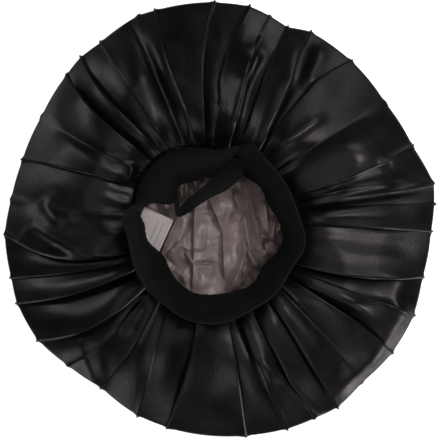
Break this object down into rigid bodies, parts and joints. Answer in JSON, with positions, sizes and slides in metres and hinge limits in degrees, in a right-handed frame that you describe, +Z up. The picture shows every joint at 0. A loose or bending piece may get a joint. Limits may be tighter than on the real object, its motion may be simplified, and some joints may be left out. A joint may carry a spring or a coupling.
{
  "type": "satin shower cap with wide stretch band",
  "caption": "Double-layer gathered satin shower cap lying on its crown, with a wide stretch band round the head opening and an inner strap.",
  "frame": {"origin": "middle of the crown's underside, at the middle of the bounding box's bottom face", "axes": "+Z up out of the head opening, +X to the right and +Y away from the viewer when the strap's sewn end is at the far right"},
  "size_m": [0.3984, 0.4021, 0.0801],
  "materials": {
    "black_satin": "black satin with a soft sheen",
    "taupe_satin": "taupe grey satin, crisp and finely creased",
    "black_knit": "matte black stretch knit",
    "black_elastic": "dull black ruched elastic",
    "white_label": "plain off-white woven label, unprinted"
  },
  "bodies": {
    "root": {"satin_crown": "black_satin", "lining": "taupe_satin", "stretch_band": "black_knit", "elastic_strap": "black_elastic", "care_label": "white_label"}
  },
  "joints": []
}
